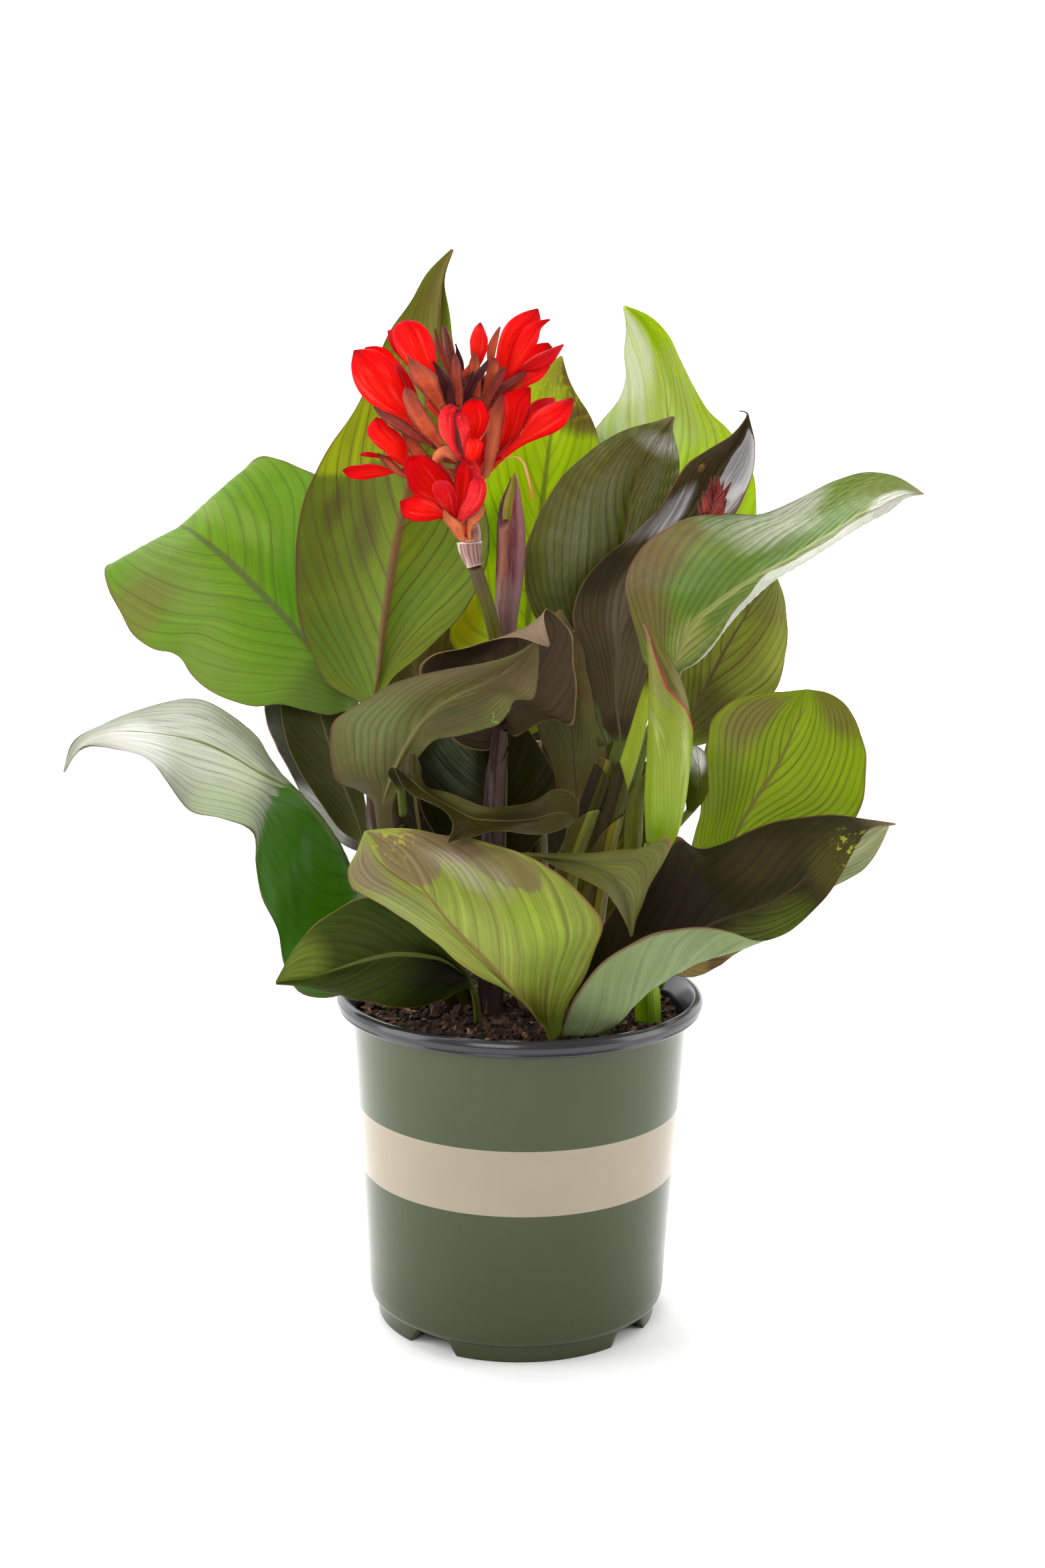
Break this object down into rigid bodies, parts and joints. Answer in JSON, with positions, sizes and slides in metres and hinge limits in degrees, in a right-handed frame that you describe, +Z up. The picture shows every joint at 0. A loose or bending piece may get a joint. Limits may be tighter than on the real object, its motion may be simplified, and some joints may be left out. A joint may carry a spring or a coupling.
{
  "type": "potted canna lily plant",
  "caption": "Canna lily with broad paddle leaves, sheathed stems and a red flower head, growing in bark compost in a round plain-banded nursery pot.",
  "frame": {"origin": "on the ground, under the middle of the whole plant's bounding box", "axes": "+Z up, +X to the right and +Y to the back of the side that shows the flower head"},
  "size_m": [0.5006, 0.2728, 0.6527],
  "materials": {
    "pot_plastic": "satin moulded plastic, dark green outside with a plain beige band, black inside and on the rim",
    "soil": "moist bark compost with lighter chips",
    "rhizome_skin": "scaly tan skin",
    "stem": "waxy green and purple-brown sheaths with fine lengthwise ribs",
    "leaf": "satin leaf with pale midrib, curved side veins and a thin purple margin",
    "petal": "soft satin red petal with fine lengthwise veins",
    "bract": "matt brown-purple bract with pale bloom"
  },
  "bodies": {
    "root": {"nursery_pot": "pot_plastic", "rhizome": "rhizome_skin", "pseudostem_left": "stem", "pseudostem_centre": "stem", "flower_stalk": "stem", "pseudostem_back": "stem", "pseudostem_right_back": "stem", "pseudostem_right_inner": "stem", "pseudostem_right": "stem", "furled_leaf": "leaf", "small_furled_shoot": "leaf", "flower_collar": "stem", "young_bud": "stem", "bract_cluster": "bract", "flower_far_left": "petal", "flower_top_left": "petal", "flower_left": "petal", "flower_upper_right": "petal", "flower_right": "petal", "flower_centre": "petal", "flower_lower_front": "petal", "flower_bud_top": "petal", "young_flower_spike": "bract", "leaf_upper_left": "leaf", "leaf_tall_left": "leaf", "leaf_behind_flowers": "leaf", "leaf_tall_right": "leaf", "leaf_centre_right": "leaf", "leaf_dark_rolled": "leaf", "leaf_arching_right": "leaf", "leaf_right_shaded": "leaf", "leaf_right_mid": "leaf", "leaf_lower_right": "leaf", "leaf_front": "leaf", "leaf_lower_left": "leaf", "leaf_arching_left": "leaf", "leaf_drooping_left": "leaf", "leaf_behind_left": "leaf", "leaf_curled_centre": "leaf", "leaf_folded_flap": "leaf", "leaf_inner_right": "leaf", "leaf_inner": "leaf", "leaf_cupped": "leaf", "leaf_small_front": "leaf", "leaf_low_right_back": "leaf", "leaf_under_right": "leaf", "leaf_back_left": "leaf", "leaf_back_centre": "leaf", "leaf_back_right": "leaf", "leaf_back_low_left": "leaf", "leaf_back_upper_left": "leaf", "leaf_back_upper_right": "leaf", "leaf_back_side_left": "leaf", "leaf_back_side_right": "leaf", "leaf_behind_stems": "leaf", "curled_leaf_tip": "leaf", "potting_soil": "soil"}
  },
  "joints": []
}
